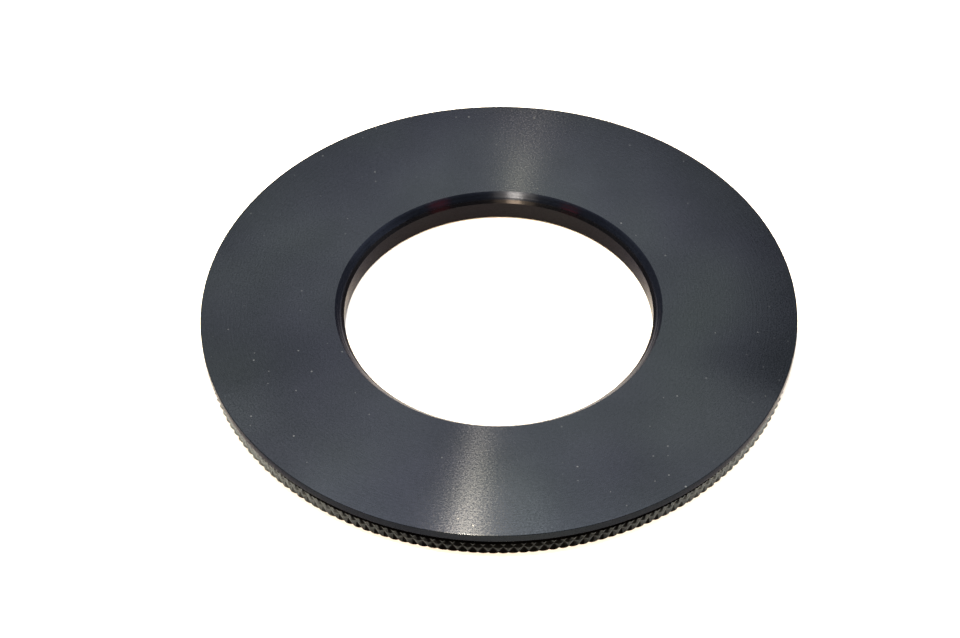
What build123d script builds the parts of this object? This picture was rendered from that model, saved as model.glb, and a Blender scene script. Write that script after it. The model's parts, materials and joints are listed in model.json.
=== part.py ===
from build123d import *
import math
import os

# Knurled clamping flange for a pipe that passes through a thin panel.
# Millimetres. The origin is the centre of the bore on the underside of the lock ring, with +Z up
# through the bore to the face. At rest the lock ring is screwed right up to the face plate.

# Driving dimensions
flange_diameter = 100.0
total_height = 5.1
plate_thickness = 1.45
bore_diameter = 52.0
bevel_diameter = 55.0
knurl_diameter = 98.85
thread_major_diameter = 60.0
thread_pitch = 1.5
ring_travel = 2.0

# The thread is drawn as a plain running fit at its pitch diameter.
thread_pitch_diameter = thread_major_diameter - 0.6495 * thread_pitch
thread_clearance = 0.05
edge_break = 0.15

# Heights of the stack, from the underside
plate_underside = total_height - plate_thickness
shadow_gap = 0.1
ring_top = plate_underside - shadow_gap

# Hub: the spigot is let into the back of the plate, and shows as a line low in the bevel
spigot_diameter = 63.0
spigot_depth = 0.4
spigot_top = plate_underside + spigot_depth
bevel_foot = total_height - (bevel_diameter - bore_diameter) / 2
hub_chamfer = 0.3

# Gasket and its groove in the back of the plate
gasket_inner_diameter = 66.0
gasket_outer_diameter = 82.0
gasket_thickness = 0.9
gasket_proud = 0.2
groove_side_gap = 0.1
groove_floor = plate_underside - gasket_proud + gasket_thickness

# Washer and the recess that it lies in, in the top of the lock ring
washer_inner_diameter = 60.4
washer_outer_diameter = 87.4
washer_thickness = 0.5
washer_clearance = 0.05
washer_top = ring_top - 0.15
washer_bottom = washer_top - washer_thickness
recess_floor = washer_bottom - washer_clearance
recess_diameter = washer_outer_diameter + 0.6

# Key of the washer and the slot for it, cut along the hub's thread
key_width = 3.6
key_reach_radius = 28.5
slot_width = 4.0
slot_floor_radius = 28.2

# Lock ring
neck_diameter = 97.2  # the plain neck that shows as a black line under the lip
knurl_top = 2.1
ring_bottom_chamfer = 0.1
thread_lead_in = 0.8


def turned(outline):
    """Turn a closed outline of (radius, height) points about the bore's axis."""
    section = make_face(Polyline(*outline, close=True))
    return revolve(Plane.XZ * section, Axis.Z)


def radial_bar(inner_radius, outer_radius, width, bottom, top):
    """A straight bar along +Y, from one radius to another."""
    length = outer_radius - inner_radius
    height = top - bottom
    middle = Pos(0, (inner_radius + outer_radius) / 2, (bottom + top) / 2)
    return middle * Box(width, length, height)


def bevel_radius(height):
    """Radius of the 45 degree bevel of the hole at a height."""
    return bevel_diameter / 2 - (total_height - height)


def face_plate():
    """Turned plate: smooth lip, bevelled hole, groove for the gasket and seat for the hub's spigot."""
    outer = flange_diameter / 2
    groove_inner = gasket_inner_diameter / 2 - groove_side_gap
    groove_outer = gasket_outer_diameter / 2 + groove_side_gap
    return turned(
        [
            (bevel_diameter / 2, total_height),
            (outer - edge_break, total_height),
            (outer, total_height - edge_break),
            (outer, plate_underside + edge_break),
            (outer - edge_break, plate_underside),
            (groove_outer, plate_underside),
            (groove_outer, groove_floor),
            (groove_inner, groove_floor),
            (groove_inner, plate_underside),
            (spigot_diameter / 2, plate_underside),
            (spigot_diameter / 2, spigot_top),
            (bevel_radius(spigot_top), spigot_top),
        ]
    )


def threaded_hub():
    """Short tube that makes the bore, threaded outside, with a slot along the thread for the key."""
    bore = bore_diameter / 2
    thread = thread_pitch_diameter / 2
    tube = turned(
        [
            (bevel_radius(spigot_top), spigot_top),
            (spigot_diameter / 2, spigot_top),
            (spigot_diameter / 2, plate_underside),
            (thread, plate_underside),
            (thread, hub_chamfer),
            (thread - hub_chamfer, 0),
            (bore + hub_chamfer, 0),
            (bore, hub_chamfer),
            (bore, bevel_foot),
        ]
    )
    slot = radial_bar(slot_floor_radius, thread + 1, slot_width, -1, plate_underside)
    return tube - slot


def lock_ring():
    """Ring that runs on the hub's thread, recessed on top for the washer, with a plain neck over its knurl."""
    outer = knurl_diameter / 2
    thread = thread_pitch_diameter / 2 + thread_clearance
    recess = recess_diameter / 2
    return turned(
        [
            (thread, recess_floor),
            (recess, recess_floor),
            (recess, ring_top),
            (neck_diameter / 2, ring_top),
            (neck_diameter / 2, knurl_top),
            (outer, knurl_top),
            (outer, ring_bottom_chamfer),
            (outer - ring_bottom_chamfer, 0),
            (thread + thread_lead_in, 0),
            (thread, thread_lead_in),
        ]
    )


def slip_washer():
    """Thin washer with one inward key that slides in the hub's slot and keeps the washer from turning."""
    inner = washer_inner_diameter / 2
    outer = washer_outer_diameter / 2
    disc = turned(
        [
            (inner, washer_bottom),
            (outer, washer_bottom),
            (outer, washer_top),
            (inner, washer_top),
        ]
    )
    key = radial_bar(key_reach_radius, inner + 1, key_width, washer_bottom, washer_top)
    return disc + key


def panel_gasket():
    """Flat ring that lies in the groove of the plate and stands a little proud of it."""
    inner = gasket_inner_diameter / 2
    outer = gasket_outer_diameter / 2
    bottom = groove_floor - gasket_thickness
    return turned(
        [
            (inner, bottom),
            (outer, bottom),
            (outer, groove_floor),
            (inner, groove_floor),
        ]
    )


pieces = {
    "face_plate": face_plate(),
    "threaded_hub": threaded_hub(),
    "lock_ring": lock_ring(),
    "slip_washer": slip_washer(),
    "panel_gasket": panel_gasket(),
}

os.makedirs("parts", exist_ok=True)
for name, solid in pieces.items():
    export_step(solid, f"parts/{name}.step")

turns = ring_travel / thread_pitch
lead = thread_pitch / 1000 / math.tau
print(f"the ring backs off {ring_travel} mm in {turns:.3f} turns, {math.degrees(turns * math.tau):.0f} degrees")
print(f"axial travel per radian: {lead:.9f} m")
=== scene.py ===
import json
import math

import bpy
from mathutils import Matrix, Vector


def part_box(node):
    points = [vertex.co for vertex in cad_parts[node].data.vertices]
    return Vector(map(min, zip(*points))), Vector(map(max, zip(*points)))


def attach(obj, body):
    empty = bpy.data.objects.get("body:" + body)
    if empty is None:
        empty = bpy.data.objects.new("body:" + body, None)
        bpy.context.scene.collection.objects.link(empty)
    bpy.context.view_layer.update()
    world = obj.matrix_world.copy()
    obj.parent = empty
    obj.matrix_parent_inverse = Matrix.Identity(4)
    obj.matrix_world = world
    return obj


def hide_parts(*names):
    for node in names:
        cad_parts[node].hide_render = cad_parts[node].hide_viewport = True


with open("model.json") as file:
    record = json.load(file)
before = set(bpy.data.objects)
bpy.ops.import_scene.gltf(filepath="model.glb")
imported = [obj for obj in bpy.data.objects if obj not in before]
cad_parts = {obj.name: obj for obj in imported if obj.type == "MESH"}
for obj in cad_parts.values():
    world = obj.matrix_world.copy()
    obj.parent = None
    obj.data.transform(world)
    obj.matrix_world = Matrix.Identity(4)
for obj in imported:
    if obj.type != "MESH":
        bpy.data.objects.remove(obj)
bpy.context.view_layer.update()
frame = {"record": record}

mm = 0.001  # sizes below are in millimetres, and the scene is in metres

# ---------------------------------------------------------------------------------------------
# Face plate. A thin disc of aluminium, faced, bevelled and edged in one setting on a lathe, then
# anodised black. Its back has the seat for the hub's spigot and the groove for the gasket.
# ---------------------------------------------------------------------------------------------


def rounded_outline(corners, steps=4):
    """Points of a closed (radius, height) outline in mm, going round so that the solid is on the left.

    A corner is (radius, height, edge radius), and a fourth value divides the run that follows it.
    """
    points = []
    for index, corner in enumerate(corners):
        here = Vector(corner[:2])
        before = (Vector(corners[index - 1][:2]) - here).normalized()
        after = (Vector(corners[(index + 1) % len(corners)][:2]) - here).normalized()
        edge_radius = corner[2]
        arc = [here]
        if edge_radius:
            half_corner = before.angle(after) / 2
            reach = edge_radius / math.tan(half_corner)
            centre = here + (before + after).normalized() * edge_radius / math.sin(half_corner)
            first = here + before * reach - centre
            turn = first.angle_signed(here + after * reach - centre)
            arc = [centre + Matrix.Rotation(-turn * i / steps, 2) @ first for i in range(steps + 1)]
        points.append((arc, corner[3] if len(corner) > 3 else 1))
    outline = []
    for index, (arc, runs) in enumerate(points):
        outline += arc
        run_end = points[(index + 1) % len(points)][0][0]
        outline += [arc[-1].lerp(run_end, i / runs) for i in range(1, runs)]
    return outline


def even_angles(count):
    """So many angles in radians, evenly spaced round the axis."""
    return [math.tau * i / count for i in range(count)]


crisp_from = math.radians(34)  # an edge that turns by more than this stays crisp


def turned(name, outline, angles, reshape=None, fine_angles=None, fine_beyond=0.0):
    """A closed ring: the outline in mm carried round the bore's axis, one loop of points for each.

    Past the radius fine_beyond a loop takes fine_angles, a whole multiple of angles in number.
    reshape(angle, radius, height) may move a point in or out.
    """
    places, loops = [], []
    for radius, height in outline:
        round_angles = fine_angles if fine_angles and radius > fine_beyond else angles
        loops.append(range(len(places), len(places) + len(round_angles)))
        for angle in round_angles:
            reach = (reshape(angle, radius, height) if reshape else radius) * mm
            places.append((reach * math.cos(angle), reach * math.sin(angle), height * mm))
    faces = []
    for index, loop in enumerate(loops):
        following = loops[(index + 1) % len(loops)]
        count = min(len(loop), len(following))
        near_step = len(loop) // count
        far_step = len(following) // count
        for i in range(count):
            near = [loop[(i * near_step + k) % len(loop)] for k in range(near_step + 1)]
            far = [following[(i * far_step + k) % len(following)] for k in range(far_step + 1)]
            faces.append(near + far[::-1])
    mesh = bpy.data.meshes.new(name)
    mesh.from_pydata(places, [], faces)
    mesh.validate()
    mesh.shade_smooth()
    mesh.set_sharp_from_angle(angle=crisp_from)
    piece = bpy.data.objects.new(name, mesh)
    bpy.context.scene.collection.objects.link(piece)
    return piece


def linear(colour):
    """A linear RGBA colour from an sRGB hex value such as "#3a3c3f"."""
    channels = [int(colour[i : i + 2], 16) / 255 for i in (1, 3, 5)]
    return [c / 12.92 if c <= 0.04045 else ((c + 0.055) / 1.055) ** 2.4 for c in channels] + [1.0]


def add_node(tree, kind, inputs=None, **settings):
    """Adds a node. inputs maps a socket's name or number to a value, a socket, or a node's first output."""
    made = tree.nodes.new(kind)
    for key, value in settings.items():
        setattr(made, key, value)
    for key, value in (inputs or {}).items():
        if isinstance(value, bpy.types.Node):
            value = value.outputs[0]
        if isinstance(value, bpy.types.NodeSocket):
            tree.links.new(value, made.inputs[key])
        else:
            made.inputs[key].default_value = value
    return made


def new_material(name):
    """An empty node material: its tree, its shader, and the object coordinates."""
    material = bpy.data.materials.new(name)
    material.use_nodes = True
    tree = material.node_tree
    tree.nodes.clear()
    shader = add_node(tree, "ShaderNodeBsdfPrincipled")
    add_node(tree, "ShaderNodeOutputMaterial", {"Surface": shader.outputs["BSDF"]})
    place = add_node(tree, "ShaderNodeTexCoord").outputs["Object"]
    return material, tree, shader, place


def radial_parts(tree, place):
    """The radius, angle and height of a place, and its flat part, which points out from the axis."""
    split = add_node(tree, "ShaderNodeSeparateXYZ", {0: place})
    flat = add_node(tree, "ShaderNodeCombineXYZ", {"X": split.outputs["X"], "Y": split.outputs["Y"]})
    radius = add_node(tree, "ShaderNodeVectorMath", {0: flat}, operation="LENGTH").outputs["Value"]
    angle = add_node(
        tree, "ShaderNodeMath", {0: split.outputs["Y"], 1: split.outputs["X"]}, operation="ARCTAN2"
    )
    return radius, angle, split.outputs["Z"], flat


def turned_anodised(
    name,
    dye,
    worn_dye,
    roughness,
    line_mm,
    line_depth_mm,
    turning=1.0,
    lean=0.0,
    dust=0.0,
    bevel=0.0,
    glance="#c2c2c6",
    painted_low_angle_sheen=None,
    rim=0.0,
):
    """Lathe-turned aluminium, anodised black.

    The tool leaves fine rings round the axis, so light spreads outwards from the centre in a bow tie,
    and the glossy film over the dye keeps a bright glint at low angles. Along each ring the marks are
    drawn as short dashes, because the cut tears and smears a little. Turning says how far the shine
    follows the rings, and lean is in degrees. The bevel, inside that radius in mm, was cut separately.
    Dust is the share of places that hold a speck. Glance is the tint of what it mirrors at a glancing
    angle. Where the edge outside the radius rim turns from the eye, its colour is painted towards the
    given low-angle colour, a painted sheen that moves with the view, if that colour is given.
    """
    material, tree, shader, place = new_material(name)
    surface_way = tree.nodes["Texture Coordinate"].outputs["Normal"]
    radius, angle, height, flat = radial_parts(tree, place)
    across = add_node(tree, "ShaderNodeMath", {0: radius, 1: height}, operation="ADD")

    # Rings: a line every line_mm, each a little different from the next, and a coarser cut on the bevel
    bevel_line_share = 0.35
    on_bevel = add_node(tree, "ShaderNodeMath", {0: radius, 1: bevel * mm}, operation="LESS_THAN")
    line_count = add_node(
        tree,
        "ShaderNodeMapRange",
        {"Value": on_bevel, "To Min": 1 / (line_mm * mm), "To Max": bevel_line_share / (line_mm * mm)},
    )
    ring_place = add_node(tree, "ShaderNodeMath", {0: across, 1: line_count}, operation="MULTIPLY")
    rings = add_node(
        tree, "ShaderNodeTexNoise", {"W": ring_place, "Scale": 1.0, "Detail": 2.0}, noise_dimensions="1D"
    ).outputs[0]
    # Dashes: tears about 1 mm long and a line wide, scattered along the rings, with few on the bevel
    dashes_per_radian = 45.0
    face_tearing, bevel_tearing = 0.35, 0.02
    ring_share = 0.25
    bevel_depth_times = 5
    dash_along = add_node(tree, "ShaderNodeMath", {0: angle, 1: dashes_per_radian}, operation="MULTIPLY")
    dash_point = add_node(tree, "ShaderNodeCombineXYZ", {"X": dash_along, "Y": ring_place})
    dashes = add_node(
        tree, "ShaderNodeTexNoise", {"Vector": dash_point, "Scale": 1.0, "Detail": 3.0}
    ).outputs[0]
    tearing = add_node(
        tree, "ShaderNodeMapRange", {"Value": on_bevel, "To Min": face_tearing, "To Max": bevel_tearing}
    )
    dash_share = add_node(tree, "ShaderNodeMath", {0: dashes, 1: tearing}, operation="MULTIPLY")
    marks = add_node(
        tree, "ShaderNodeMath", {0: rings, 1: ring_share, 2: dash_share}, operation="MULTIPLY_ADD"
    )
    face_depth, bevel_depth = line_depth_mm * mm, bevel_depth_times * line_depth_mm * mm
    depth = add_node(
        tree, "ShaderNodeMapRange", {"Value": on_bevel, "To Min": face_depth, "To Max": bevel_depth}
    )
    mark_height = add_node(tree, "ShaderNodeMath", {0: marks, 1: depth}, operation="MULTIPLY")
    # The feed marks lean outwards, so the whole surface shines as if it were slightly coned
    cone_slope = -math.tan(math.radians(lean))
    surface_height = add_node(
        tree, "ShaderNodeMath", {0: radius, 1: cone_slope, 2: mark_height}, operation="MULTIPLY_ADD"
    )
    bump = add_node(tree, "ShaderNodeBump", {"Height": surface_height, "Distance": 1.0, "Strength": 1.0})

    # Dye: slow drift between two blacks, with faint rings, and patches that took a greener tint
    drift_size, patch_size = 25.0, 22.222
    ring_tone, line_tone = 0.15, 0.5
    drift = add_node(
        tree, "ShaderNodeTexNoise", {"Vector": place, "Scale": 1 / (drift_size * mm), "Detail": 3.0}
    ).outputs[0]
    lines = add_node(tree, "ShaderNodeMath", {0: rings, 1: ring_tone, 2: dashes}, operation="MULTIPLY_ADD")
    tone = add_node(tree, "ShaderNodeMath", {0: lines, 1: line_tone, 2: drift}, operation="MULTIPLY_ADD")
    tone_range = add_node(
        tree, "ShaderNodeMapRange", {"Value": tone, "From Min": 0.45, "From Max": 1.1}
    ).outputs["Result"]
    colour = add_node(
        tree, "ShaderNodeMix", {0: tone_range, 6: linear(dye), 7: linear(worn_dye)}, data_type="RGBA"
    ).outputs[2]
    patches = add_node(
        tree, "ShaderNodeTexNoise", {"Vector": place, "Scale": 1 / (patch_size * mm), "Detail": 1.0}
    ).outputs[0]
    tint = add_node(
        tree, "ShaderNodeMix", {0: patches, 6: linear("#dfe2ff"), 7: linear("#e8fdf3")}, data_type="RGBA"
    ).outputs[2]
    colour = add_node(
        tree, "ShaderNodeMix", {0: 1.0, 6: colour, 7: tint}, data_type="RGBA", blend_type="MULTIPLY"
    ).outputs[2]
    #     Painted shade: surfaces that don't face up are darkened, the bevel least of all and with a violet
    #         tint
    level_from = 0.9  # how far up or down a surface faces to count as level, where 1 is straight
    facing_way = add_node(tree, "ShaderNodeSeparateXYZ", {0: surface_way})
    level = add_node(
        tree, "ShaderNodeMath", {0: facing_way.outputs["Z"], 1: level_from}, operation="GREATER_THAN"
    )
    side_shade_tint = add_node(
        tree, "ShaderNodeMix", {0: on_bevel, 6: linear("#bcc2c4"), 7: linear("#d4d6ea")}, data_type="RGBA"
    ).outputs[2]
    painted_side_shade = add_node(
        tree, "ShaderNodeMix", {0: level, 6: side_shade_tint, 7: (1, 1, 1, 1)}, data_type="RGBA"
    ).outputs[2]
    colour = add_node(
        tree, "ShaderNodeMix", {0: 1.0, 6: colour, 7: painted_side_shade}, data_type="RGBA", blend_type="MULTIPLY"
    ).outputs[2]
    if painted_low_angle_sheen:
        #         Painted sheen: the rim's colour turns light grey where it faces away from the eye, and moves
        #             with the
        #         view. The angle is taken mostly from the rim as a whole, and less from each flank of the
        #         knurl
        rim_weight = (1.5, 1.5, 1.5)
        outward = add_node(tree, "ShaderNodeVectorMath", {0: flat}, operation="NORMALIZE")
        rim_way = add_node(
            tree,
            "ShaderNodeVectorMath",
            {0: outward, 1: rim_weight, 2: surface_way},
            operation="MULTIPLY_ADD",
        )
        rim_way = add_node(tree, "ShaderNodeVectorMath", {0: rim_way}, operation="NORMALIZE")
        facing = add_node(tree, "ShaderNodeLayerWeight", {"Blend": 0.5, "Normal": rim_way}).outputs["Facing"]
        grazing = add_node(tree, "ShaderNodeMapRange", {"Value": facing, "From Min": 0.35, "From Max": 0.8})
        tilt = add_node(tree, "ShaderNodeMath", {0: facing_way.outputs["Z"]}, operation="ABSOLUTE")
        upright = add_node(tree, "ShaderNodeMath", {0: tilt, 1: level_from}, operation="LESS_THAN")
        on_rim = add_node(tree, "ShaderNodeMath", {0: radius, 1: rim * mm}, operation="GREATER_THAN")
        knurled = add_node(tree, "ShaderNodeMath", {0: upright, 1: on_rim}, operation="MULTIPLY")
        painted_sheen_mask = add_node(tree, "ShaderNodeMath", {0: grazing, 1: knurled}, operation="MULTIPLY")
        colour = add_node(
            tree, "ShaderNodeMix", {0: painted_sheen_mask, 6: colour, 7: linear(painted_low_angle_sheen)}, data_type="RGBA"
        ).outputs[2]
    # Polish: it changes within each dash, which makes the streak of light sparkle
    polish_per_radian = 110.0
    smoothest, roughest = roughness * 0.6, roughness * 1.4
    polish_along = add_node(tree, "ShaderNodeMath", {0: angle, 1: polish_per_radian}, operation="MULTIPLY")
    polish_point = add_node(tree, "ShaderNodeCombineXYZ", {"X": polish_along, "Y": ring_place})
    polish = add_node(
        tree, "ShaderNodeTexNoise", {"Vector": polish_point, "Scale": 1.3, "Detail": 1.0}
    ).outputs[0]
    rough = add_node(
        tree,
        "ShaderNodeMapRange",
        {"Value": polish, "From Min": 0.35, "From Max": 0.65, "To Min": smoothest, "To Max": roughest},
    ).outputs["Result"]
    rough = add_node(tree, "ShaderNodeMix", {0: on_bevel, 2: rough, 3: roughness}).outputs[0]
    if dust:
        # Dust: faint specks 0.1 to 0.3 mm across that settle on level surfaces, one to a cell at most
        dust_cell = 2.381
        smallest_speck, speck_spread = 0.03, 0.04  # a speck's radius, in cells
        speck = add_node(
            tree,
            "ShaderNodeTexVoronoi",
            {"Vector": flat, "Scale": 1 / (dust_cell * mm), "Randomness": 1.0},
            voronoi_dimensions="2D",
        )
        chance = add_node(tree, "ShaderNodeSeparateColor", {0: speck.outputs["Color"]})
        speck_size = add_node(
            tree,
            "ShaderNodeMath",
            {0: chance.outputs[2], 1: speck_spread, 2: smallest_speck},
            operation="MULTIPLY_ADD",
        )
        near = add_node(
            tree, "ShaderNodeMath", {0: speck.outputs["Distance"], 1: speck_size}, operation="LESS_THAN"
        )
        chosen = add_node(tree, "ShaderNodeMath", {0: chance.outputs[0], 1: dust}, operation="LESS_THAN")
        grain = add_node(tree, "ShaderNodeMath", {0: near, 1: chosen}, operation="MULTIPLY")
        faint = add_node(tree, "ShaderNodeMath", {0: grain, 1: chance.outputs[1]}, operation="MULTIPLY")
        settled = add_node(tree, "ShaderNodeMath", {0: faint, 1: level}, operation="MULTIPLY")
        colour = add_node(
            tree, "ShaderNodeMix", {0: settled, 6: colour, 7: linear("#4a4c4e")}, data_type="RGBA"
        ).outputs[2]
    tree.links.new(colour, shader.inputs["Base Color"])
    tree.links.new(rough, shader.inputs["Roughness"])
    tree.links.new(bump.outputs["Normal"], shader.inputs["Normal"])
    shader.inputs["Metallic"].default_value = 1.0
    shader.inputs["Specular Tint"].default_value = linear(glance)
    shader.inputs["Anisotropic"].default_value = turning
    # A quarter turn, so that the light spreads across the rings
    shader.inputs["Anisotropic Rotation"].default_value = 0.25
    tangent = add_node(tree, "ShaderNodeTangent", direction_type="RADIAL", axis="Z")
    tree.links.new(tangent.outputs["Tangent"], shader.inputs["Tangent"])
    return material


plate_low, plate_high = [[v / mm for v in corner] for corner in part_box("face_plate")]
flange_radius = frame["record"]["size"]["bbox_m"][0] / 2 / mm
face_height = plate_high[2]
back_height = plate_low[2]
bore_radius = frame["record"]["mounts"][0]["dims"]["r_mm"]
bevel_width = 1.5
bevel_radius = bore_radius + bevel_width
spigot_radius = 31.5
seam_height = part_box("threaded_hub")[1][2] / mm
seam_radius = bevel_radius - (face_height - seam_height)
groove_inner, groove_outer = 32.9, 41.1
groove_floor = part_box("panel_gasket")[1][2] / mm

plate = turned(
    "plate",
    rounded_outline(
        [
            (bevel_radius, face_height, 0.06),
            (seam_radius, seam_height, 0.03),
            (spigot_radius, seam_height, 0.0),
            (spigot_radius, back_height, 0.05),
            (groove_inner, back_height, 0.05),
            (groove_inner, groove_floor, 0.0),
            (groove_outer, groove_floor, 0.0),
            (groove_outer, back_height, 0.05),
            (flange_radius, back_height, 0.12),
            (flange_radius, face_height, 0.12),
        ]
    ),
    even_angles(720),
)
# A lathe's feed marks are nearer 0.1 mm apart and far shallower. They are drawn coarser and deeper, so
# that they show.
plate.data.materials.append(
    turned_anodised(
        "black_anodised_faced_aluminium",
        dye="#1e1f21",
        worn_dye="#2b2b2f",
        roughness=0.21,
        line_mm=0.3,
        line_depth_mm=0.03,
        lean=2.0,
        dust=0.11,
        bevel=bevel_radius,
    )
)
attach(plate, "flange")
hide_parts("face_plate")

# ---------------------------------------------------------------------------------------------
# Threaded hub. A short aluminium tube, bored smooth for the pipe and threaded outside, pressed and
# bonded into the back of the plate. A slot milled along the thread guides the washer's key.
# ---------------------------------------------------------------------------------------------
thread_pitch = 1.5
thread_pitch_radius = 29.51
thread_root, thread_crest = 29.08, 29.97
thread_run_out = 0.25
thread_form = 0.866  # height of a sharp 60 degree thread, in pitches
thread_wall = 0.9  # a point this close to the pitch radius is on the threaded wall


def new_tree(name, sizes):
    """A geometry tree and its input node. The inputs are a mesh, the named sizes and a material."""
    tree = bpy.data.node_groups.new(name, "GeometryNodeTree")
    tree.interface.new_socket(name="Geometry", in_out="INPUT", socket_type="NodeSocketGeometry")
    for size in sizes:
        tree.interface.new_socket(name=size, in_out="INPUT", socket_type="NodeSocketFloat")
    tree.interface.new_socket(name="Material", in_out="INPUT", socket_type="NodeSocketMaterial")
    tree.interface.new_socket(name="Geometry", in_out="OUTPUT", socket_type="NodeSocketGeometry")
    return tree, add_node(tree, "NodeGroupInput")


def close_tree(tree, given, offset, selection=None):
    """Moves the points, merges doubles, makes any instances real, sets the material, and joins the output."""
    moved = add_node(
        tree, "GeometryNodeSetPosition", {"Geometry": given.outputs["Geometry"], "Offset": offset}
    )
    if selection:
        tree.links.new(selection.outputs[0], moved.inputs["Selection"])
    merged = add_node(tree, "GeometryNodeMergeByDistance", {"Geometry": moved, "Distance": 0.001 * mm})
    real = add_node(tree, "GeometryNodeRealizeInstances", {"Geometry": merged})
    painted = add_node(
        tree, "GeometryNodeSetMaterial", {"Geometry": real, "Material": given.outputs["Material"]}
    )
    add_node(tree, "NodeGroupOutput", {"Geometry": painted})


thread_tree, given = new_tree(
    "screw_thread", ["Pitch", "Pitch Radius", "Root Radius", "Crest Radius", "Lowest", "Highest", "Outside"]
)
pitch, pitch_radius, outside = [given.outputs[size] for size in ("Pitch", "Pitch Radius", "Outside")]
place = add_node(thread_tree, "GeometryNodeInputPosition")
radius, angle, height, flat = radial_parts(thread_tree, place)
outward = add_node(thread_tree, "ShaderNodeVectorMath", {0: flat}, operation="NORMALIZE")
turns = add_node(thread_tree, "ShaderNodeMath", {0: angle, 1: math.tau}, operation="DIVIDE")
climb = add_node(thread_tree, "ShaderNodeMath", {0: height, 1: pitch}, operation="DIVIDE")
phase = add_node(thread_tree, "ShaderNodeMath", {0: climb, 1: turns}, operation="SUBTRACT")
wave = add_node(thread_tree, "ShaderNodeMath", {0: phase, 1: 0.5}, operation="PINGPONG")
flank = add_node(
    thread_tree, "ShaderNodeMapRange", {"Value": wave, "From Max": 0.5, "To Min": -0.5, "To Max": 0.5}
)
flank_height = add_node(thread_tree, "ShaderNodeMath", {0: pitch, 1: thread_form}, operation="MULTIPLY")
reach = add_node(
    thread_tree, "ShaderNodeMath", {0: flank, 1: flank_height, 2: pitch_radius}, operation="MULTIPLY_ADD"
)
over_root = add_node(
    thread_tree, "ShaderNodeMath", {0: reach, 1: given.outputs["Root Radius"]}, operation="MAXIMUM"
)
form = add_node(
    thread_tree, "ShaderNodeMath", {0: over_root, 1: given.outputs["Crest Radius"]}, operation="MINIMUM"
)
# An outside thread only cuts inwards (Outside is 1), and an inside thread only cuts outwards (-1)
form_way = add_node(thread_tree, "ShaderNodeMath", {0: form, 1: outside}, operation="MULTIPLY")
wall_way = add_node(thread_tree, "ShaderNodeMath", {0: radius, 1: outside}, operation="MULTIPLY")
cut = add_node(thread_tree, "ShaderNodeMath", {0: form_way, 1: wall_way}, operation="MINIMUM")
cut_radius = add_node(thread_tree, "ShaderNodeMath", {0: cut, 1: outside}, operation="MULTIPLY")
shift = add_node(thread_tree, "ShaderNodeMath", {0: cut_radius, 1: radius}, operation="SUBTRACT")
offset = add_node(thread_tree, "ShaderNodeVectorMath", {0: outward, "Scale": shift}, operation="SCALE")
above = add_node(
    thread_tree, "FunctionNodeCompare", {0: height, 1: given.outputs["Lowest"]}, operation="GREATER_THAN"
)
below = add_node(
    thread_tree, "FunctionNodeCompare", {0: height, 1: given.outputs["Highest"]}, operation="LESS_THAN"
)
from_wall = add_node(
    thread_tree, "ShaderNodeMath", {0: radius, 1: pitch_radius, 2: thread_wall * mm}, operation="COMPARE"
)
in_run = add_node(thread_tree, "FunctionNodeBooleanMath", {0: above, 1: below}, operation="AND")
chosen = add_node(thread_tree, "FunctionNodeBooleanMath", {0: in_run, 1: from_wall}, operation="AND")
close_tree(thread_tree, given, offset, chosen)


def shape_by_tree(piece, tree, **values):
    """Runs a geometry tree on a piece with the named inputs, and leaves a plain mesh."""
    modifier = piece.modifiers.new(tree.name, "NODES")
    modifier.node_group = tree
    for item in tree.interface.items_tree:
        key = item.name.lower().replace(" ", "_")
        if item.in_out == "INPUT" and key in values:
            modifier[item.identifier] = values[key]
    depsgraph = bpy.context.evaluated_depsgraph_get()
    mesh = bpy.data.meshes.new_from_object(piece.evaluated_get(depsgraph))
    piece.modifiers.clear()
    piece.data = mesh
    mesh.name = piece.name
    mesh.set_sharp_from_angle(angle=crisp_from)


def keyed_angles(count, half_width, radius):
    """Even angles, and a close pair at each side of a key or slot that lies towards +Y."""
    side = math.asin(half_width / radius)
    pairs = [math.pi / 2 + way * (side + nudge) for way in (-1, 1) for nudge in (-1e-4, 1e-4)]
    kept = [a for a in even_angles(count) if abs(abs(a - math.pi / 2) - side) > 1e-3]
    return sorted(kept + pairs), side


slot_half_width, slot_floor_radius = 2.0, 28.2
slot_angles, slot_side = keyed_angles(582, slot_half_width, slot_floor_radius)
hair = 0.01  # a point this close past an edge still counts as on it


def slot_cut(angle, radius, height):
    """Takes the threaded wall down to the slot's floor, between the slot's sides and up to the plate."""
    inside = abs(angle - math.pi / 2) < slot_side and height < back_height + hair
    return slot_floor_radius if inside and slot_floor_radius < radius < thread_crest + hair else radius


hub_chamfer = 0.3
seam_nick = 0.02  # the spigot stops this far short of the bevel, which shows as a line
hub = turned(
    "hub",
    rounded_outline(
        [
            (seam_radius, seam_height - seam_nick, 0.03),
            (bore_radius, face_height - bevel_width, 0.03),
            (bore_radius, hub_chamfer, 0.05),
            (bore_radius + hub_chamfer, 0.0, 0.05),
            (thread_root, 0.0, 0.0, 8),
            (thread_crest, thread_crest - thread_root, 0.0, 28),
            (thread_crest, back_height - thread_run_out, 0.0),
            (thread_root, back_height - thread_run_out, 0.0),
            (thread_root, back_height, 0.0),
            (spigot_radius, back_height, 0.0),
            (spigot_radius, seam_height, 0.0),
            (seam_radius + seam_nick, seam_height, 0.0),
        ]
    ),
    slot_angles,
    reshape=slot_cut,
)
hub_black = turned_anodised(
    "black_anodised_bored_aluminium",
    dye="#1c1718",
    worn_dye="#282324",
    roughness=0.22,
    line_mm=0.25,
    line_depth_mm=0.003,
)
shape_by_tree(
    hub,
    thread_tree,
    pitch=thread_pitch * mm,
    pitch_radius=thread_pitch_radius * mm,
    root_radius=thread_root * mm,
    crest_radius=thread_crest * mm,
    lowest=-mm,
    highest=(back_height - thread_run_out + hair) * mm,
    outside=1.0,
    material=hub_black,
)
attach(hub, "flange")
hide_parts("threaded_hub")

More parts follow.
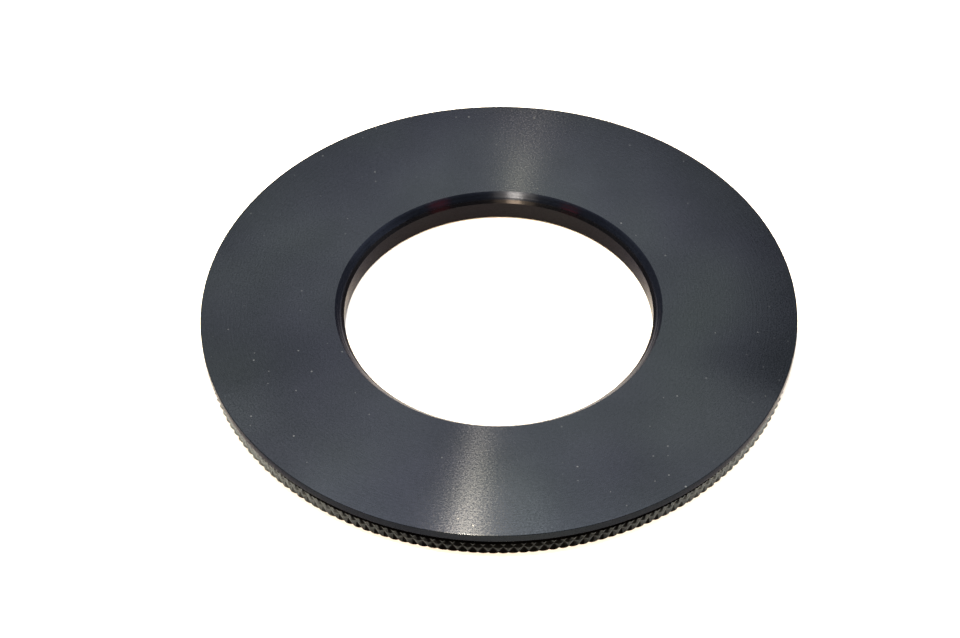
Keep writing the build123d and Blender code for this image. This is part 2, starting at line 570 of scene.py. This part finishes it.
# ---------------------------------------------------------------------------------------------
# Panel gasket. A flat ring of black nitrile rubber, cut from moulded sheet, that lies in the
# plate's groove and stands a little proud of it.
# ---------------------------------------------------------------------------------------------
gasket_low, gasket_high = [[v / mm for v in corner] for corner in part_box("panel_gasket")]
gasket_outer = 41.0
gasket_inner = 33.0
gasket = turned(
    "gasket",
    rounded_outline(
        [
            (gasket_inner, gasket_high[2], 0.04),
            (gasket_inner, gasket_low[2], 0.12),
            (gasket_outer, gasket_low[2], 0.12),
            (gasket_outer, gasket_high[2], 0.04),
        ]
    ),
    even_angles(360),
)
# Moulding leaves nitrile rubber with a soft, dull sheen and a fine grain, and it blooms grey in places
grain_size, bloom_size, grain_depth = 0.4, 11.111, 0.02
rubber, tree, shader, place = new_material("black_nitrile_rubber")
grain = add_node(
    tree, "ShaderNodeTexNoise", {"Vector": place, "Scale": 1 / (grain_size * mm), "Detail": 4.0}
).outputs[0]
bloom = add_node(
    tree, "ShaderNodeTexNoise", {"Vector": place, "Scale": 1 / (bloom_size * mm), "Detail": 3.0}
).outputs[0]
bump = add_node(tree, "ShaderNodeBump", {"Height": grain, "Distance": grain_depth * mm, "Strength": 1.0})
colour = add_node(
    tree, "ShaderNodeMix", {0: bloom, 6: linear("#1c1c1d"), 7: linear("#333231")}, data_type="RGBA"
).outputs[2]
rough = add_node(tree, "ShaderNodeMapRange", {"Value": grain, "To Min": 0.55, "To Max": 0.8})
tree.links.new(colour, shader.inputs["Base Color"])
tree.links.new(rough.outputs["Result"], shader.inputs["Roughness"])
tree.links.new(bump.outputs["Normal"], shader.inputs["Normal"])
shader.inputs["IOR"].default_value = 1.52
gasket.data.materials.append(rubber)
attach(gasket, "flange")
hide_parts("panel_gasket")

# ---------------------------------------------------------------------------------------------
# Slip washer. Stamped from thin stainless sheet, with one key turned in towards the axis that rides
# in the hub's slot, so that the lock ring turns against steel and not against the panel.
# ---------------------------------------------------------------------------------------------
washer_low, washer_high = [[v / mm for v in corner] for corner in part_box("slip_washer")]
washer_outer, washer_inner = 43.7, 30.2
key_half_width, key_reach = 1.8, 28.5
key_angles, key_side = keyed_angles(360, key_half_width, key_reach)


def key_left(angle, radius, height):
    """Carries the inner edge in to the key's end, between the key's sides."""
    inside = abs(angle - math.pi / 2) < key_side and radius < (washer_inner + washer_outer) / 2
    return radius - washer_inner + key_reach if inside else radius


washer = turned(
    "washer",
    rounded_outline(
        [
            (washer_inner, washer_high[2], 0.08),
            (washer_inner, washer_low[2], 0.03),
            (washer_outer, washer_low[2], 0.03),
            (washer_outer, washer_high[2], 0.08),
        ]
    ),
    key_angles,
    reshape=key_left,
)
# Rolling leaves fine straight lines along the sheet, and turning the ring polishes a few rings into it
line_length, line_width, line_depth = 4.0, 0.12, 0.004
rub_width = 0.5
steel, tree, shader, place = new_material("rolled_stainless_steel")
roll_scale = (1 / (line_length * mm), 1 / (line_width * mm), 1.0)
roll_place = add_node(tree, "ShaderNodeMapping", {"Vector": place, "Scale": roll_scale})
lines = add_node(tree, "ShaderNodeTexNoise", {"Vector": roll_place, "Scale": 1.0, "Detail": 3.0}).outputs[0]
split = add_node(tree, "ShaderNodeSeparateXYZ", {0: place})
flat = add_node(tree, "ShaderNodeCombineXYZ", {"X": split.outputs["X"], "Y": split.outputs["Y"]})
radius = add_node(tree, "ShaderNodeVectorMath", {0: flat}, operation="LENGTH").outputs["Value"]
rub_place = add_node(tree, "ShaderNodeMath", {0: radius, 1: 1 / (rub_width * mm)}, operation="MULTIPLY")
rubbed = add_node(
    tree, "ShaderNodeTexNoise", {"W": rub_place, "Scale": 1.0}, noise_dimensions="1D"
).outputs[0]
bump = add_node(tree, "ShaderNodeBump", {"Height": lines, "Distance": line_depth * mm, "Strength": 1.0})
colour = add_node(
    tree, "ShaderNodeMix", {0: lines, 6: linear("#b4b3b0"), 7: linear("#cbcac6")}, data_type="RGBA"
).outputs[2]
rough = add_node(tree, "ShaderNodeMapRange", {"Value": rubbed, "To Min": 0.38, "To Max": 0.22})
tree.links.new(colour, shader.inputs["Base Color"])
tree.links.new(rough.outputs["Result"], shader.inputs["Roughness"])
tree.links.new(bump.outputs["Normal"], shader.inputs["Normal"])
shader.inputs["Metallic"].default_value = 1.0
washer.data.materials.append(steel)
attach(washer, "washer")
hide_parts("slip_washer")

# ---------------------------------------------------------------------------------------------
# Lock ring. Turned from aluminium, threaded inside and recessed on top for the washer. Its rim is
# diamond knurled under a plain neck, and all of it was then anodised black.
# ---------------------------------------------------------------------------------------------
ring_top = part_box("lock_ring")[1][2] / mm
knurl_radius, knurl_top = 49.425, 2.1
neck_radius = 48.6
recess_radius = 44.0
washer_clearance = 0.05
recess_floor = washer_low[2] - washer_clearance
ring_thread_gap = 0.06
ring_minor = 29.2
ring_major = 30.1
lead_in = 1.16  # chamfer that starts the thread
knurl_chamfer, knurl_shoulder = 0.1, 0.15
lower_inset, upper_inset = 0.55, 0.6  # loops under and over the knurl, deeper than its grooves
mid_radius = 36.0  # a loop on the flat sides, which keeps their faces short
knurl_teeth = 194
steps_per_tooth = 10
fine_from = recess_radius - 1.0

ring = turned(
    "ring",
    rounded_outline(
        [
            (ring_minor, recess_floor, 0.0, 20),
            (ring_minor, lead_in, 0.0, 10),
            (ring_minor + lead_in, 0.0, 0.0),
            (mid_radius, 0.0, 0.0),
            (knurl_radius - lower_inset, 0.0, 0.0),
            (knurl_radius - knurl_chamfer, 0.0, 0.0),
            (knurl_radius, knurl_chamfer, 0.0, 20),
            (knurl_radius, knurl_top - knurl_shoulder, 0.0, 2),
            (knurl_radius - knurl_shoulder, knurl_top, 0.0),
            (knurl_radius - upper_inset, knurl_top, 0.0),
            (neck_radius, knurl_top, 0.0),
            (neck_radius, ring_top, 0.1),
            (recess_radius, ring_top, 0.05),
            (recess_radius, recess_floor, 0.0),
            (mid_radius, recess_floor, 0.0),
        ]
    ),
    even_angles(knurl_teeth * steps_per_tooth // 4),
    fine_angles=even_angles(knurl_teeth * steps_per_tooth),
    fine_beyond=fine_from,
)
knurl_tree, given = new_tree("diamond_knurl", ["Teeth", "Depth", "Diamond Height", "Rim Radius"])
place = add_node(knurl_tree, "GeometryNodeInputPosition")
radius, angle, height, flat = radial_parts(knurl_tree, place)
outward = add_node(knurl_tree, "ShaderNodeVectorMath", {0: flat}, operation="NORMALIZE")
turns = add_node(knurl_tree, "ShaderNodeMath", {0: angle, 1: math.tau}, operation="DIVIDE")
round_count = add_node(
    knurl_tree, "ShaderNodeMath", {0: turns, 1: given.outputs["Teeth"]}, operation="MULTIPLY"
)
up_count = add_node(
    knurl_tree, "ShaderNodeMath", {0: height, 1: given.outputs["Diamond Height"]}, operation="DIVIDE"
)
# Two families of V grooves, one climbing each way, leave diamonds between them with worn tips
tip_from = 0.36  # the worn tips start this far from a groove, in pitches of the knurl
right_phase = add_node(knurl_tree, "ShaderNodeMath", {0: round_count, 1: up_count}, operation="ADD")
left_phase = add_node(knurl_tree, "ShaderNodeMath", {0: round_count, 1: up_count}, operation="SUBTRACT")
right = add_node(knurl_tree, "ShaderNodeMath", {0: right_phase, 1: 0.5}, operation="PINGPONG")
left = add_node(knurl_tree, "ShaderNodeMath", {0: left_phase, 1: 0.5}, operation="PINGPONG")
lower = add_node(knurl_tree, "ShaderNodeMath", {0: right, 1: left}, operation="MINIMUM")
# The knurling wheel bites a little deeper in some places than in others
bites_per_metre = 260.0
patchy = add_node(
    knurl_tree, "ShaderNodeTexNoise", {"Vector": place, "Scale": bites_per_metre, "Detail": 2.0}
).outputs[0]
bite = add_node(
    knurl_tree, "ShaderNodeMapRange", {"Value": patchy, "From Min": 0.3, "From Max": 0.7, "To Min": 0.6}
)
diamond = add_node(
    knurl_tree, "ShaderNodeMapRange", {"Value": lower, "From Max": tip_from, "To Min": 1.0, "To Max": 0.0}
)
sink = add_node(knurl_tree, "ShaderNodeMath", {0: diamond, 1: bite.outputs["Result"]}, operation="MULTIPLY")
deep = add_node(knurl_tree, "ShaderNodeMath", {0: sink, 1: given.outputs["Depth"]}, operation="MULTIPLY")
surface = add_node(
    knurl_tree, "ShaderNodeMath", {0: given.outputs["Rim Radius"], 1: deep}, operation="SUBTRACT"
)
cut_to = add_node(knurl_tree, "ShaderNodeMath", {0: surface, 1: radius}, operation="MINIMUM")
shift = add_node(knurl_tree, "ShaderNodeMath", {0: cut_to, 1: radius}, operation="SUBTRACT")
offset = add_node(knurl_tree, "ShaderNodeVectorMath", {0: outward, "Scale": shift}, operation="SCALE")
close_tree(knurl_tree, given, offset)

ring_black = turned_anodised(
    "black_anodised_knurled_aluminium",
    dye="#0c0a09",
    worn_dye="#141110",
    roughness=0.58,
    line_mm=0.25,
    line_depth_mm=0.002,
    turning=0.1,
    glance="#8a8a8a",
    # painted sheen: the rim's colour where it faces away from the eye
    painted_low_angle_sheen="#7e858a",
    rim=neck_radius,
)
knurl_depth, diamond_height = 0.36, 2.77
shape_by_tree(
    ring,
    knurl_tree,
    teeth=float(knurl_teeth),
    depth=knurl_depth * mm,
    diamond_height=diamond_height * mm,
    rim_radius=knurl_radius * mm,
    material=ring_black,
)
shape_by_tree(
    ring,
    thread_tree,
    pitch=thread_pitch * mm,
    pitch_radius=(thread_pitch_radius + ring_thread_gap) * mm,
    root_radius=ring_minor * mm,
    crest_radius=ring_major * mm,
    lowest=-mm,
    highest=(recess_floor + hair) * mm,
    outside=-1.0,
    material=ring_black,
)
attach(ring, "lock_ring")
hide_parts("lock_ring")

# ---------------------------------------------------------------------------------------------
# Stage: a white table lit mostly from overhead and behind. One small dish almost straight overhead
# draws the narrow streak on the face, and wide softboxes fill in the rest of the ring.
# ---------------------------------------------------------------------------------------------
bpy.context.scene.view_settings.view_transform = "Standard"
floor_half_width = 4.0
floor_height = -0.01 * mm  # a hair under the ring, so that the two don't share a plane
floor_corners = [
    (x * floor_half_width, y * floor_half_width, floor_height)
    for x, y in ((-1, -1), (1, -1), (1, 1), (-1, 1))
]
floor_mesh = bpy.data.meshes.new("floor")
floor_mesh.from_pydata(floor_corners, [], [(0, 1, 2, 3)])
floor = bpy.data.objects.new("floor", floor_mesh)
bpy.context.scene.collection.objects.link(floor)
# Matt white laminate
floor_paint, _, shader, _ = new_material("white_table")
shader.inputs["Base Color"].default_value = (0.84, 0.84, 0.84, 1.0)
shader.inputs["Roughness"].default_value = 0.9
floor.data.materials.append(floor_paint)


light_distance = 2.0


def round_light(name, azimuth, elevation, width, brightness, colour="#ffffff"):
    """A round softbox, placed in degrees round from +X and up, and degrees wide.

    It looks as bright as said, whatever its width.
    """
    toward = Vector((math.cos(math.radians(azimuth)), math.sin(math.radians(azimuth)), 0.0))
    toward = toward * math.cos(math.radians(elevation)) + Vector((0, 0, math.sin(math.radians(elevation))))
    data = bpy.data.lights.new(name, "AREA")
    data.shape = "DISK"
    data.size = 2 * light_distance * math.tan(math.radians(width / 2))
    data.energy = brightness * (math.pi * data.size / 2) ** 2
    data.color = linear(colour)[:3]
    light = bpy.data.objects.new(name, data)
    light.location = toward * light_distance
    light.rotation_euler = toward.to_track_quat("Z", "Y").to_euler()
    bpy.context.scene.collection.objects.link(light)


round_light("overhead_dish", 180, 85.3, 3, 3200.0, "#ffe7c0")
round_light("overhead_softbox", 180, 86, 50, 3.2)
round_light("right_softbox", 0, 65, 32, 3.2)
round_light("left_softbox", 180, 65, 32, 1.6)
round_light("back_right_softbox", 60, 65, 32, 3.3, "#fff8ea")
round_light("back_left_softbox", 120, 65, 32, 4.2, "#fff8ea")
round_light("back_window", 92, 40, 30, 3.6, "#fffaf0")
round_light("left_window", 170, 40, 30, 1.0)
round_light("right_window", 10, 40, 30, 1.6)
round_light("far_left_window", 130, 40, 30, 1.8, "#fff8ea")
round_light("front_lamp", 257, 46, 8, 190.0, "#ffe6bc")
round_light("front_softbox", 257, 46, 22, 10.0, "#ffe6bc")
round_light("low_right_softbox", -15, 12, 30, 1.2)
round_light("low_left_softbox", 195, 12, 30, 0.3)
# Something red stands on each side in front, and shows in the bevel
round_light("red_lamp_right", -49, 37, 12, 6.0, "#ff2a30")
round_light("red_lamp_left", 221, 24, 12, 6.0, "#ff2a30")
round_light("back_lamp", 98, 70, 2.5, 6.4, "#fffaf0")

# The room: a pale wall behind the table, and darkness on the camera's side
world = bpy.data.worlds.new("room")
world.use_nodes = True
tree = world.node_tree
around = add_node(tree, "ShaderNodeTexCoord").outputs["Generated"]
split = add_node(tree, "ShaderNodeSeparateXYZ", {0: around})
behind = add_node(
    tree,
    "ShaderNodeMapRange",
    {"Value": split.outputs["Y"], "From Min": -0.1, "From Max": 0.35, "To Min": 0.3, "To Max": 1.0},
)
background = tree.nodes["Background"]
background.inputs["Color"].default_value = (1, 1, 1, 1)
tree.links.new(behind.outputs["Result"], background.inputs["Strength"])
bpy.context.scene.world = world

# Camera: it looks down at the face from the front
top_centre = Vector((0, 0, face_height * mm))
elevation, roll = math.radians(46.116), math.radians(0.773)
camera_place = Vector((-0.0624, -0.05195, 8.43534))  # right, up and back, in flange radii
turn = Matrix.Rotation(math.pi / 2 - elevation, 3, "X") @ Matrix.Rotation(-roll, 3, "Z")
back_off = camera_place * flange_radius * mm
camera_data = bpy.data.cameras.new("camera")
camera_data.lens = 94.2
camera = bpy.data.objects.new("camera", camera_data)
camera.location = top_centre + turn @ back_off
camera.rotation_euler = turn.to_euler()
bpy.context.scene.collection.objects.link(camera)
bpy.context.scene.camera = camera
